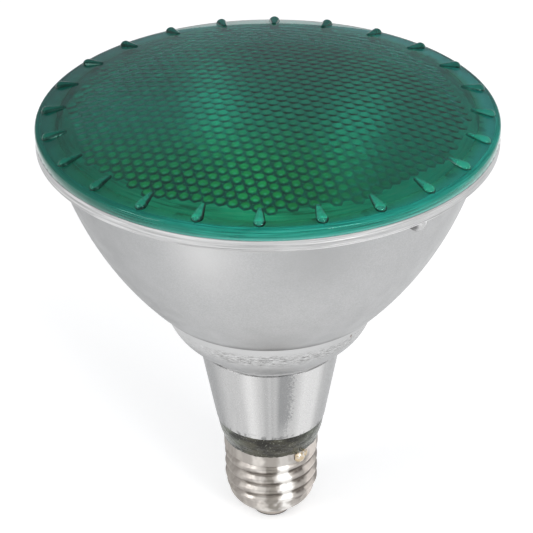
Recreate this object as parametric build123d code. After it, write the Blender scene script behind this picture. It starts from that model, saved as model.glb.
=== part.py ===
from build123d import *
import math
import os

# A pressed-glass reflector spotlight lamp with a coloured lens and a skirted screw cap, in millimetres.
# +Z runs up the lamp's axis, lens up, from the flat of the contact's solder. The front is towards -Y.

# Contact and its insulator
tip_height = 0.4  # solder below the contact plate
tip_radius = 3.4
tip_flat_radius = 2.4
plate_radius = 5.3
plate_thickness = 1.6
plate_edge_chamfer = 0.3
insulator_foot_radius = 5.6
insulator_drop = 1.6  # insulator that shows between the plate and the shell's lip
insulator_top = 1.2  # insulator above the shell's rounded end

# Screw shell with its right-hand knuckle thread
thread_crest_radius = 13.1
thread_depth = 1.0
thread_pitch = 3.629
thread_ridge_width = 2.9
thread_shoulder_width = 1.8
thread_crest_width = 0.8
thread_shoulder = 0.75  # height at which the ridge's steep sides turn in
thread_foot = 4.35  # first ridge's middle above the shell's lip, on the +X side
thread_lead = 2.7  # height over which the first ridge grows out of the shell
shell_height = 23.6
shell_wall = 0.35
shell_lip_radius = 7.8
shell_lip_thickness = 0.7
shell_round_height = 5.6
shell_fullness = 0.56  # how low the rounded end's bulge sits, as a share of its height
collar_height = 3.8
collar_stand = 0.15  # collar proud of the thread's crests
collar_slope = 0.9
sink = 0.15  # how far the ridge's foot reaches into the shell's wall

# Insulating ring between the shell and the skirt
ring_height = 6.6
ring_top_radius = 14.9
ring_bulge = 0.35  # outward bow of the ring's side
ring_bore_radius = 9.6
ring_spigot_down = 1.0
ring_spigot_up = 3.0

# Skirt and its cement
skirt_height = 23.9
skirt_bottom_radius = 15.2
skirt_top_radius = 19.5
skirt_wall = 0.6
skirt_gap = 0.9  # shadow line between the skirt and the heel
cement_thickness = 1.2

# Glass reflector
neck_depth = 9.4
neck_bore_radius = 12.0
heel_height = 14.6
heel_bottom_radius = 19.5
heel_top_radius = 28.8
heel_fullness = 0.4  # how low the heel's bulge sits, as a share of its height
step_width = 2.1
step_round = 1.3
bowl_height = 47.2
bowl_top_radius = 56.1
bowl_bow = 3.7  # bow of the bowl's side out of its straight chord
flange_height = 3.1
flange_chamfer = 0.5
flange_width = 4.2  # flange outside the bowl
glass_wall = 3.2
floor_thickness = 4.0
mouth_wall = 2.0  # glass at the bowl's mouth
lug_radius = 2.6
lug_stand = 0.6  # lug's centre outside the bowl's edge at the flange
lug_drop = 1.0  # lug's centre below the flange
lug_angle = -44.0

# Lens with its rim beads
lens_thickness = 3.4
lens_edge_height = 2.7  # from the seam to where the dome would meet the rim
lens_edge_round = 0.8
dome_rise = 8.1
bead_count = 24
bead_inset = 1.4  # from the rim to the bead's round head
bead_head_radius = 1.6
bead_tail_radius = 0.8
bead_length = 4.3  # between the middles of the head and the tail
bead_sink = 0.3  # bead's axis below the dome
bead_start_angle = -92.2

# Lead-ins, filament and exhaust
lead_spacing = 14.0
lead_angle = -50.0  # the side that the filament and the lead-ins face, and the side solder with them
ferrule_radius = 2.3
ferrule_collar_radius = 3.3
ferrule_collar_height = 0.8
ferrule_rise = 0.8  # ferrule above the glass floor
ferrule_socket_depth = 3.0
ferrule_stub_radius = 1.2
ferrule_stub_height = 1.6
post_radius = 0.6
post_rise = 1.6  # post above the filament's axis
post_flat = 0.25  # depth of the flat that the filament's leg is welded to
filament_height = 8.6  # filament's axis above the glass floor
filament_coil_radius = 0.9
filament_leg_radius = 0.3
filament_leg_length = 2.4
exhaust_radius = 2.5
exhaust_bore_radius = 1.4
exhaust_length = 11.0
exhaust_point = 3.0  # drawn-out end

# Lead wires and the side solder
wire_radius = 0.35
wire_bend_radius = 3.0
wire_straight = 6.0  # straight run below the left ferrule
solder_radius = 1.8
solder_stand = 1.1  # solder proud of the collar
solder_drop = 0.9  # solder's middle below the ring's spigot in the shell

# Fits
seat_gap = 0.05  # between pieces that are cemented, sealed or pushed together
wire_gap = 0.15  # round a wire in its hole

# Levels up the axis
plate_bottom = tip_height
plate_top = plate_bottom + plate_thickness
lip_level = plate_top + insulator_drop
round_level = lip_level + shell_round_height
shell_top = lip_level + shell_height
collar_bottom = shell_top - collar_height
skirt_bottom = shell_top + ring_height
skirt_top = skirt_bottom + skirt_height
heel_bottom = skirt_top + skirt_gap
floor_top = heel_bottom + floor_thickness
neck_bottom = heel_bottom - neck_depth
step_level = heel_bottom + heel_height
flange_bottom = step_level + bowl_height
seam_level = flange_bottom + flange_height
dome_base = seam_level + lens_edge_height
lens_top = dome_base + dome_rise
filament_level = floor_top + filament_height
solder_level = shell_top - ring_spigot_down - solder_drop

# Radii that follow from the ones above
core_radius = thread_crest_radius - thread_depth
bore_radius = core_radius - shell_wall
collar_radius = thread_crest_radius + collar_stand
wire_hole_radius = wire_radius + wire_gap
lead_offset = lead_spacing / 2
rim_radius = bowl_top_radius + flange_width
mouth_radius = bowl_top_radius - mouth_wall
bead_reach = rim_radius - bead_inset
dome_radius = (rim_radius**2 + dome_rise**2) / (2 * dome_rise)
dome_centre = lens_top - dome_radius


def at(radius, level):
    """A point of a half section, in the plane of X and Z."""
    return (radius, 0, level)


def turned(*edges):
    """The solid that a closed half section makes when it is turned about the lamp's axis."""
    return revolve(make_face(Curve() + list(edges)), Axis.Z)


def outline(*points):
    """Straight edges from point to point."""
    return Polyline(*points)


def bowed(start, end, bow):
    """An arc between two points of a half section, which the bow takes away from the axis."""
    chord = Vector(*end) - Vector(*start)
    outwards = Vector(chord.Z, 0, -chord.X).normalized()
    if outwards.X < 0:
        outwards = -outwards
    middle = (Vector(*start) + Vector(*end)) * 0.5 + outwards * bow
    return ThreePointArc(start, middle, end)


def rounded(start, corner, end):
    """A smooth round from start to end, inside their corner."""
    return Bezier(start, corner, end)


def after(edge, distance):
    """What is left of an edge when a distance is cut from its start."""
    return edge.trim(distance / edge.length, 1)


def rod(path, radius):
    """A round wire along a path."""
    section = Plane(path @ 0, z_dir=path % 0) * Circle(radius)
    return sweep(section, path)


def skirt_radius_at(level):
    """The outside of the skirt's cone."""
    share = (level - skirt_bottom) / (skirt_top - skirt_bottom)
    return skirt_bottom_radius + share * (skirt_top_radius - skirt_bottom_radius)


def skirt_bore_at(level):
    return skirt_radius_at(level) - skirt_wall


def neck_radius_at(level):
    return skirt_bore_at(level) - cement_thickness


def dome_level_at(radius, depth=0):
    """The height of the lens's dome, or of a dome that lies a depth below it."""
    return dome_centre + math.sqrt((dome_radius - depth) ** 2 - radius**2)


def shell_end():
    """The outside of the shell's rounded lower end, from the thread's root down to the lip."""
    top = at(core_radius, round_level)
    lip = at(shell_lip_radius, lip_level)
    return rounded(top, at(core_radius, lip_level + shell_round_height * shell_fullness), lip)


def shell_inside(gap):
    """The inside of the shell's lower end, or a line inside it by the gap: a plain cone."""
    top = at(bore_radius - gap, round_level)
    lip = at(shell_lip_radius - gap, lip_level + shell_lip_thickness + gap)
    return top, lip


def make_tip_solder():
    return turned(
        outline(at(tip_radius, plate_bottom), at(0, plate_bottom), at(0, 0), at(tip_flat_radius, 0)),
        TangentArc(at(tip_flat_radius, 0), at(tip_radius, plate_bottom), tangent=(1, 0, 0)),
    )


def make_contact_plate():
    return turned(
        outline(
            at(plate_radius - plate_edge_chamfer, plate_bottom),
            at(plate_radius, plate_bottom + plate_edge_chamfer),
            at(plate_radius, plate_top),
            at(wire_hole_radius, plate_top),
            at(wire_hole_radius, plate_bottom),
            at(plate_radius - plate_edge_chamfer, plate_bottom),
        )
    )


def make_cap_insulator():
    """The glass that fills the shell's lower end and carries the contact plate."""
    side_top, side_lip = shell_inside(seat_gap)
    top = round_level + insulator_top
    return turned(
        outline(
            at(wire_hole_radius, plate_top),
            at(insulator_foot_radius, plate_top),
            at(shell_lip_radius - seat_gap, lip_level),
            side_lip,
            side_top,
            at(bore_radius - seat_gap, top),
            at(wire_hole_radius, top),
            at(wire_hole_radius, plate_top),
        )
    )


def make_thread_ridge():
    """The rounded helical ridge, which grows out of the shell at its foot and runs into the collar."""
    foot = lip_level + thread_foot
    rise = collar_bottom + thread_ridge_width / 2 + sink - foot
    path = Helix(thread_pitch, rise, core_radius, center=(0, 0, foot))
    half = thread_ridge_width / 2
    shoulder = thread_shoulder_width / 2
    crest = thread_crest_width / 2
    side = [(-sink, half), (thread_shoulder, shoulder), (thread_depth, crest)]
    other_side = [(out, -along) for out, along in reversed(side)]
    section = Plane(path @ 0, x_dir=(1, 0, 0), z_dir=path % 0) * make_face(
        outline(*side, *other_side, side[0])
    )
    ridge = sweep(section, path, is_frenet=True)
    lead_bottom = round_level - sink
    lead_slope = (thread_depth + sink) / thread_lead
    reach = thread_crest_radius + collar_stand
    lead_in = turned(
        outline(
            at(0, lip_level),
            at(core_radius - sink - lead_slope * (lead_bottom - lip_level), lip_level),
            at(core_radius - sink, lead_bottom),
            at(reach, lead_bottom + thread_lead * (reach - core_radius + sink) / (thread_depth + sink)),
            at(reach, shell_top),
            at(0, shell_top),
            at(0, lip_level),
        )
    )
    return ridge & lead_in


def make_screw_shell():
    end = shell_end()
    inside_top, inside_lip = shell_inside(0)
    wall = turned(
        outline(
            end @ 0,
            at(core_radius, collar_bottom - collar_slope),
            at(collar_radius, collar_bottom),
            at(collar_radius, shell_top),
            at(bore_radius, shell_top),
            inside_top,
            inside_lip,
            end @ 1,
        ),
        end,
    )
    return wall + make_thread_ridge() - wire_exit()


def solder_place():
    """Where the side lead is soldered, before the turn to its side: Z points straight out of the collar."""
    return Pos(0, 0, solder_level) * Rot(0, 90, 0)


def wire_exit():
    """The hole through the collar that the side lead leaves by."""
    return Rot(0, 0, lead_angle) * solder_place() * Cylinder(
        wire_hole_radius, 2 * collar_radius, align=(Align.CENTER, Align.CENTER, Align.MIN)
    )


def make_side_solder():
    """A flattened drop of solder on the collar, over the end of the side lead."""
    ball_radius = (solder_radius**2 + solder_stand**2) / (2 * solder_stand)
    ball_place = solder_place() * Pos(0, 0, collar_radius + solder_stand - ball_radius)
    drop = Rot(0, 0, lead_angle) * ball_place * Sphere(ball_radius)
    body = Cylinder(collar_radius, lens_top, align=(Align.CENTER, Align.CENTER, Align.MIN))
    return drop - body


def make_insulating_ring():
    side = bowed(at(collar_radius, shell_top), at(ring_top_radius, skirt_bottom), ring_bulge)
    upper = skirt_bore_at(skirt_bottom) - seat_gap
    lower = bore_radius - seat_gap
    return turned(
        side,
        outline(
            side @ 1,
            at(upper, skirt_bottom),
            at(upper, skirt_bottom + ring_spigot_up),
            at(ring_bore_radius, skirt_bottom + ring_spigot_up),
            at(ring_bore_radius, shell_top - ring_spigot_down),
            at(lower, shell_top - ring_spigot_down),
            at(lower, shell_top),
            side @ 0,
        ),
    )


def make_skirt():
    return turned(
        outline(
            at(skirt_bottom_radius, skirt_bottom),
            at(skirt_top_radius, skirt_top),
            at(skirt_bore_at(skirt_top), skirt_top),
            at(skirt_bore_at(skirt_bottom), skirt_bottom),
            at(skirt_bottom_radius, skirt_bottom),
        )
    )


def make_basing_cement():
    inner = [at(neck_radius_at(level) + seat_gap, level) for level in (neck_bottom, skirt_top)]
    outer = [at(skirt_bore_at(level) - seat_gap, level) for level in (skirt_top, neck_bottom)]
    return turned(outline(*inner, *outer, inner[0]))


def lead_places():
    """The left and right lead-ins, either side of the axis."""
    return [Rot(0, 0, lead_angle + turn) * Pos(lead_offset, 0, 0) for turn in (180, 0)]


def make_reflector():
    """The pressed glass bowl from its neck in the skirt to the flange under the lens."""
    step_radius = heel_top_radius + step_width
    step_corner = at(step_radius, step_level)
    heel = rounded(
        at(heel_top_radius, step_level),
        at(heel_top_radius, heel_bottom + heel_height * heel_fullness),
        at(heel_bottom_radius, heel_bottom),
    )
    bowl = after(bowed(step_corner, at(bowl_top_radius, flange_bottom), bowl_bow), step_round)
    inner_heel = rounded(
        at(heel_top_radius - glass_wall, step_level),
        at(heel_top_radius - glass_wall, floor_top + glass_wall),
        at(heel_bottom_radius - glass_wall, floor_top),
    )
    inner_bowl = bowed(
        at(step_radius - glass_wall, step_level + glass_wall), at(mouth_radius, seam_level), bowl_bow
    )
    glass = turned(
        heel,
        outline(heel @ 0, at(step_radius - step_round, step_level)),
        rounded(at(step_radius - step_round, step_level), step_corner, bowl @ 0),
        bowl,
        outline(
            bowl @ 1,
            at(rim_radius - flange_chamfer, flange_bottom),
            at(rim_radius, flange_bottom + flange_chamfer),
            at(rim_radius, seam_level),
            inner_bowl @ 1,
        ),
        inner_bowl,
        outline(inner_bowl @ 0, inner_heel @ 0),
        inner_heel,
        outline(
            inner_heel @ 1,
            at(0, floor_top),
            at(0, heel_bottom),
            at(neck_bore_radius, heel_bottom),
            at(neck_bore_radius, neck_bottom),
            at(neck_radius_at(neck_bottom), neck_bottom),
            at(neck_radius_at(heel_bottom), heel_bottom),
            heel @ 1,
        ),
    )
    holes = [place * through_floor(ferrule_radius + seat_gap) for place in lead_places()]
    holes.append(through_floor(exhaust_radius + seat_gap))
    return glass + make_lug() - holes


def through_floor(radius):
    return Pos(0, 0, heel_bottom - floor_thickness) * Cylinder(
        radius, 3 * floor_thickness, align=(Align.CENTER, Align.CENTER, Align.MIN)
    )


def make_lug():
    """The round lug pressed under the flange."""
    place = Pos(bowl_top_radius + lug_stand, 0, flange_bottom - lug_drop)
    below_seam = Pos(0, 0, seam_level) * Cylinder(
        rim_radius, lens_top, align=(Align.CENTER, Align.CENTER, Align.MAX)
    )
    return (Rot(0, 0, lug_angle) * place * Sphere(lug_radius)) & below_seam


def make_lens():
    rim_corner = at(rim_radius, dome_base)
    outer = after(
        ThreePointArc(rim_corner, at(rim_radius / 2, dome_level_at(rim_radius / 2)), at(0, lens_top)),
        lens_edge_round,
    )
    inner = ThreePointArc(
        at(0, lens_top - lens_thickness),
        at(mouth_radius / 2, dome_level_at(mouth_radius / 2, lens_thickness)),
        at(mouth_radius, dome_level_at(mouth_radius, lens_thickness)),
    )
    edge = TangentArc(outer @ 0, at(rim_radius, dome_base - lens_edge_round), tangent=-(outer % 0))
    glass = turned(
        edge,
        outer,
        outline(outer @ 1, inner @ 0),
        inner,
        outline(inner @ 1, at(mouth_radius, seam_level), at(rim_radius, seam_level), edge @ 1),
    )
    bead = make_bead()
    spacing = 360 / bead_count
    return glass + [Rot(0, 0, bead_start_angle + spacing * i) * bead for i in range(bead_count)]


def make_bead():
    """A teardrop that lies along the sloping dome, on the +X side, with its round head outwards."""
    lean = math.asin((bead_head_radius - bead_tail_radius) / bead_length)
    along = (math.cos(lean), math.sin(lean))
    back = (-math.cos(lean), -math.sin(lean))
    head_side = (-bead_head_radius * math.sin(lean), bead_head_radius * math.cos(lean))
    tail_side = (-bead_length - bead_tail_radius * math.sin(lean), bead_tail_radius * math.cos(lean))
    head_tip = (bead_head_radius, 0)
    tail_tip = (-bead_length - bead_tail_radius, 0)
    half_section = Curve() + [
        outline(head_tip, tail_tip),
        TangentArc(tail_side, tail_tip, tangent=back),
        outline(tail_side, head_side),
        TangentArc(head_side, head_tip, tangent=along),
    ]
    drop = revolve(make_face(half_section), Axis.X)
    head = bead_reach - bead_head_radius
    slope = math.degrees(math.asin((head - bead_length / 2) / dome_radius))
    return Pos(head, 0, dome_level_at(head) - bead_sink) * Rot(0, slope, 0) * drop


def make_ferrule():
    """A metal thimble in the glass floor: socket for the post above, stub for the wire below."""
    top = floor_top + ferrule_rise
    collar_bottom_level = heel_bottom - ferrule_collar_height
    stub_bottom = collar_bottom_level - ferrule_stub_height
    body = turned(
        outline(
            at(0, top),
            at(ferrule_radius, top),
            at(ferrule_radius, heel_bottom),
            at(ferrule_collar_radius, heel_bottom),
            at(ferrule_collar_radius, collar_bottom_level),
            at(ferrule_stub_radius, collar_bottom_level),
            at(ferrule_stub_radius, stub_bottom),
            at(0, stub_bottom),
            at(0, top),
        )
    )
    socket = Pos(0, 0, top) * Cylinder(
        post_radius + seat_gap, ferrule_socket_depth, align=(Align.CENTER, Align.CENTER, Align.MAX)
    )
    return body - socket


def make_post():
    """A rod in its ferrule, on the +X side, with a flat near its top that faces the axis."""
    foot = floor_top + ferrule_rise - ferrule_socket_depth
    top = filament_level + post_rise
    low_end = (Align.CENTER, Align.CENTER, Align.MIN)
    stem = Pos(lead_offset, 0, foot) * Cylinder(post_radius, top - foot, align=low_end)
    flat = Pos(lead_offset - post_radius + post_flat, 0, filament_level - post_rise) * Box(
        2 * post_radius, 2 * post_radius, 2 * post_rise, align=(Align.MAX, Align.CENTER, Align.MIN)
    )
    return stem - flat


def make_filament():
    """The coil's outer form between its two straight legs, which end on the posts."""
    span = lead_offset - post_radius + post_flat
    coil_end = span - filament_leg_length
    section = outline(
        (-span, 0),
        (-span, filament_leg_radius),
        (-coil_end, filament_leg_radius),
        (-coil_end, filament_coil_radius),
        (coil_end, filament_coil_radius),
        (coil_end, filament_leg_radius),
        (span, filament_leg_radius),
        (span, 0),
        (-span, 0),
    )
    return Rot(0, 0, lead_angle) * Pos(0, 0, filament_level) * revolve(make_face(section), Axis.X)


def make_exhaust_tube():
    """The glass stem, flush with the floor above and melted to a point below."""
    end = floor_top - exhaust_length
    return turned(
        outline(
            at(exhaust_radius, end),
            at(exhaust_radius, floor_top),
            at(exhaust_bore_radius, floor_top),
            at(exhaust_bore_radius, end),
            at(0, end),
            at(0, end - exhaust_point),
            at(exhaust_radius, end),
        )
    )


def make_centre_lead():
    """The wire from the left ferrule's stub to the solder on the contact plate."""
    start = heel_bottom - ferrule_collar_height - ferrule_stub_height
    path = FilletPolyline(
        (-lead_offset, 0, start),
        (-lead_offset, 0, start - wire_straight),
        (0, 0, skirt_bottom),
        (0, 0, plate_bottom),
        radius=wire_bend_radius,
    )
    return Rot(0, 0, lead_angle) * rod(path, wire_radius)


def make_side_lead():
    """The wire from the right ferrule's stub, straight down and then out to the solder on the collar."""
    start = heel_bottom - ferrule_collar_height - ferrule_stub_height
    end = math.sqrt(collar_radius**2 - wire_radius**2)
    path = FilletPolyline(
        (lead_offset, 0, start),
        (lead_offset, 0, solder_level),
        (end, 0, solder_level),
        radius=wire_bend_radius,
    )
    return Rot(0, 0, lead_angle) * rod(path, wire_radius)


def write(name, solid):
    export_step(solid, f"parts/{name}.step")


os.makedirs("parts", exist_ok=True)

left, right = lead_places()
ferrule = make_ferrule()
post = make_post()

write("tip_solder", make_tip_solder())
write("contact_plate", make_contact_plate())
write("cap_insulator", make_cap_insulator())
write("screw_shell", make_screw_shell())
write("side_solder", make_side_solder())
write("insulating_ring", make_insulating_ring())
write("skirt", make_skirt())
write("basing_cement", make_basing_cement())
write("reflector", make_reflector())
write("lens", make_lens())
write("left_ferrule", left * ferrule)
write("right_ferrule", right * ferrule)
write("left_post", Rot(0, 0, lead_angle + 180) * post)
write("right_post", Rot(0, 0, lead_angle) * post)
write("filament", make_filament())
write("exhaust_tube", make_exhaust_tube())
write("centre_lead", make_centre_lead())
write("side_lead", make_side_lead())
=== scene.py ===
import math

import bmesh
import bpy
from mathutils import Matrix, Vector, geometry, noise


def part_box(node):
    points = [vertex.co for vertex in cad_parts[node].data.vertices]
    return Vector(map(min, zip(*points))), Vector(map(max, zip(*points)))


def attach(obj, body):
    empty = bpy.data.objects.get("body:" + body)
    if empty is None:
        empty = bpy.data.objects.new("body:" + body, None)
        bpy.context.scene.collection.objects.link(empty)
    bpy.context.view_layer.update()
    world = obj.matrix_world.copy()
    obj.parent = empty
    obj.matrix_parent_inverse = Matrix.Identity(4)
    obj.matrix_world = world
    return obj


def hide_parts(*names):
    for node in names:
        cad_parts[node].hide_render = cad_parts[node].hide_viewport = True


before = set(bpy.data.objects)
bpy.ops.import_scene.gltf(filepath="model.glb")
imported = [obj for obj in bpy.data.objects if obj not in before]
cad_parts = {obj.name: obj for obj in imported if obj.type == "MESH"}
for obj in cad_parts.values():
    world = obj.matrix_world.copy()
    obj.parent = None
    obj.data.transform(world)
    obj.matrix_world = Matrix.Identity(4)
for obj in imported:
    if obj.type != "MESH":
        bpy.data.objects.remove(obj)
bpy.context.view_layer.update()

# Sizes are in millimetres and angles in degrees. Levels and outer radii come from the frame.
MM = 0.001


def box_mm(node):
    """Lowest and highest corner of a node, in millimetres."""
    low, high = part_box(node)
    return low / MM, high / MM


# Levels and radii from the frame
lens_low, lens_high = box_mm("lens")
reflector_low, _ = box_mm("reflector")
skirt_low, skirt_high = box_mm("skirt")
shell_low, shell_high = box_mm("screw_shell")
plate_low, plate_high = box_mm("contact_plate")
tip_low, tip_high = box_mm("tip_solder")
ring_low, ring_high = box_mm("insulating_ring")
solder_low, solder_high = box_mm("side_solder")
filament_low, filament_high = box_mm("filament")
rim_radius = lens_high.x
seam = lens_low.z
lens_top = lens_high.z
neck_bottom = reflector_low.z
skirt_bottom = skirt_low.z
skirt_top = skirt_high.z
skirt_top_radius = skirt_high.x
shell_lip = shell_low.z
shell_top = shell_high.z
collar_radius = shell_high.x

# Lens
lens_thickness = 3.4
lens_edge_height = 2.7
lens_edge_round = 0.8
lens_edge_bevel = 0.12
mouth_radius = 54.1
seal_gap = 0.05  # between the lens and the flange
dome_rings = 12
dome_segments = 96
seat_segments = 192
bead_count = 24
bead_head_radius = 1.6
bead_tail_radius = 0.8
bead_reach = 58.9
bead_length = 4.3  # between the middles of a bead's round ends
bead_sink = 0.3  # how deep a bead's axis lies under the dome
bead_start = -92.2
bead_zone = 50.4  # where the fine rings of the beads begin
bead_zone_gap = 1.2  # between the last coarse ring and the first fine one
bead_least_half = 0.2  # half width of a bead's columns where it has ended
bead_columns = (0, 0.28, 0.52, 0.72, 0.86, 0.95, 1.0)  # shares of a bead's half width
bead_sides = (0.12, 0.6)  # columns beside a bead
bead_gap_steps = 5  # steps between two beads
bead_body_steps = 9
bead_end_bends = (90, 72, 54, 36, 18)  # angles of the rings on a bead's round ends
bead_end_gap = 0.1  # between a bead's tail and the ring before it
lenslet_pitch = 3.1
lenslet_height = 0.17
lenslet_zone = 50.9  # furthest lenslet centre from the axis
lenslet_turn = -17.2
lenslet_steps = 4
lenslet_cap = 0.53  # radius of a cap, as a share of the pitch

# Reflector
bowl_top_radius = 56.1
bowl_bow = 3.7
flange_height = 3.1
flange_chamfer = 0.5
flange_bevel = 0.1
flange_groove_depth = 0.06
flange_groove_width = 0.3
flange_grooves = (0.34, 0.72)  # shares of the flange's height
heel_height = 14.6
heel_bottom_radius = 19.5
heel_top_radius = 28.8
heel_fullness = 0.4
step_width = 2.1
step_round = 1.3
glass_wall = 3.2
floor_thickness = 4.0
neck_bore_radius = 12.0
skirt_gap = 0.9
lug_radius = 2.6
lug_stand = 0.6
lug_drop = 1.0
lug_angle = -50.6
lug_flatness = 0.9
lug_swell = 0.12  # share of its radius by which the lug is uneven
lug_waves = 1.7  # how fine its swells are
lug_rows = 12

# Skirt, ring and cement
skirt_wall = 0.6
skirt_bottom_radius = 15.2
skirt_edge = 0.18  # rounding of the skirt's edges
skirt_steps = 16
skirt_dent = 0.06  # depth of the uneven foot
skirt_dent_height = 4
cement_thickness = 1.2
cement_recess = 0.15  # cement in the gap behind the skirt's face
cement_gap = 0.04  # to the heel and the skirt's end
cement_round = (0.25, 0.3)  # width and height of its upper edge
cement_rough = 0.12  # depth of its uneven face
ring_top_radius = 14.9
ring_bulge = 0.35
ring_bore_radius = 9.6
ring_segments = 360
film_thickness = 0.16  # how far the ring's ragged lower edge lies over the shell
film_gap = 0.02
film_flare = 0.05
film_height = 0.5  # above the shell's end, and below it
film_end = (0.06, 0.15)  # width and height of the film's round end
film_drip = 0.12  # long waves of the film's lower edge
film_rag = 0.1  # short ones
seat_gap = 0.05

# Screw cap
thread_crest_radius = 13.1
thread_depth = 1.0
thread_pitch = 3.629
thread_foot = 4.35
thread_lead = 2.7
thread_sink = 0.15  # how deep in the core the thread's ridge begins
thread_sharpness = 0.9
thread_steps = 96
shell_wall = 0.35
shell_lip_radius = 7.8
shell_lip_thickness = 0.7
shell_round_height = 5.6
shell_fullness = 0.56
shell_edge = (0.12, 0.15)  # width and height of the collar's upper edge
collar_height = 3.8
collar_slope = 0.9
contact_segments = 96
plate_edge = 0.3  # rounding of the plate's lower edge
plate_edge_cut = 0.09
tip_flat_radius = 2.4
lead_angle = -50.0  # of the side lead and the filament
solder_drops = ((-0.75, -0.1, 1.8), (0.6, 0.35, 1.3))  # side, rise and radius of each drop
solder_flatness = 0.75  # how far a drop stands out, against its radius
solder_sink = 0.1
solder_swell = 0.1  # as on the lug
solder_waves = 2
solder_rows = 16

# Filament
filament_leg = 2.4
coil_radius = 0.75
coil_turns = 16
coil_steps = 14  # in each turn
wire_radius = 0.12
wire_sides = 8

# Stage
floor_half = 3000
floor_lift = 0.47  # light of the floor's own, where it is seen
softbox_distance = 1200
softbox_aim = 80
softboxes = {  # azimuth, elevation, width, height and power
    "key_left": (-62, 24, 400, 500, 3.6),
    "key_right": (34, 20, 350, 300, 4.2),
    "top_front": (12, 50, 800, 640, 2.3),
}

# Camera, fitted to the photograph
camera_elevation = 30.915
camera_distance = 578.1
camera_aim = 80.56
camera_roll = -0.592
camera_near = 10
focal_pixels = 2140
aside_pixels = -2.685
frame_pixels = 533
sensor_width = 36

# Sizes that follow
flange_bottom = seam - flange_height
heel_bottom = skirt_top + skirt_gap
floor_top = heel_bottom + floor_thickness
step_level = heel_bottom + heel_height
dome_base = seam + lens_edge_height
dome_rise = lens_top - dome_base
dome_radius = (rim_radius**2 + dome_rise**2) / (2 * dome_rise)
dome_centre = lens_top - dome_radius
bead_spacing = 360 / bead_count
bead_head = bead_reach - bead_head_radius
bead_tail = bead_head - bead_length
lenslet_row = lenslet_pitch * math.sqrt(3) / 2
round_level = shell_lip + shell_round_height
collar_bottom = shell_top - collar_height
core_radius = thread_crest_radius - thread_depth

ROUND = 240  # segments of a turned piece
SAME = 1e-4  # points closer than this are one point
TINY = 1e-6


# Profiles of turned pieces, as points of radius and level


def bowed(start, end, bow, count):
    """Points of an arc between two points that the bow takes away from the axis."""
    start = Vector(start)
    end = Vector(end)
    chord = end - start
    outwards = Vector((chord.y, -chord.x)).normalized()
    if outwards.x < 0:
        outwards = -outwards
    half = chord.length / 2
    radius = (half**2 + bow**2) / (2 * bow)
    centre = (start + end) / 2 + outwards * (bow - radius)
    spread = math.asin(half / radius)
    along = chord.normalized()
    points = []
    for i in range(count + 1):
        angle = spread * (2 * i / count - 1)
        points.append(centre + (outwards * math.cos(angle) + along * math.sin(angle)) * radius)
    return [tuple(point) for point in points]


def rounded(start, corner, end, count):
    """Points of a smooth round inside a corner."""
    points = []
    for i in range(count + 1):
        t = i / count
        weights = ((1 - t) ** 2, 2 * t * (1 - t), t**2)
        points.append(tuple(sum(w * p[k] for w, p in zip(weights, (start, corner, end))) for k in range(2)))
    return points


def skirt_radius_at(level):
    share = (level - skirt_bottom) / (skirt_top - skirt_bottom)
    return skirt_bottom_radius + share * (skirt_top_radius - skirt_bottom_radius)


def neck_radius_at(level):
    return skirt_radius_at(level) - skirt_wall - cement_thickness


def dome_level(radius, depth=0.0):
    """Level of the lens's dome, or of a dome that lies a depth below it."""
    return dome_centre + math.sqrt((dome_radius - depth) ** 2 - radius**2)


def smooth_step(low, high, value):
    t = min(max((value - low) / (high - low), 0.0), 1.0)
    return t * t * (3 - 2 * t)


def polar(radius, angle, level):
    """A point at an angle round the axis."""
    turn = math.radians(angle)
    return (radius * math.cos(turn), radius * math.sin(turn), level)


def wander(angle, size, seed):
    """A smooth random value from about -1 to 1 round a circle, with waves of a given size in degrees."""
    return 2 * noise.noise(Vector(polar(math.degrees(1) / size, angle, seed)))


# Meshes


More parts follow.
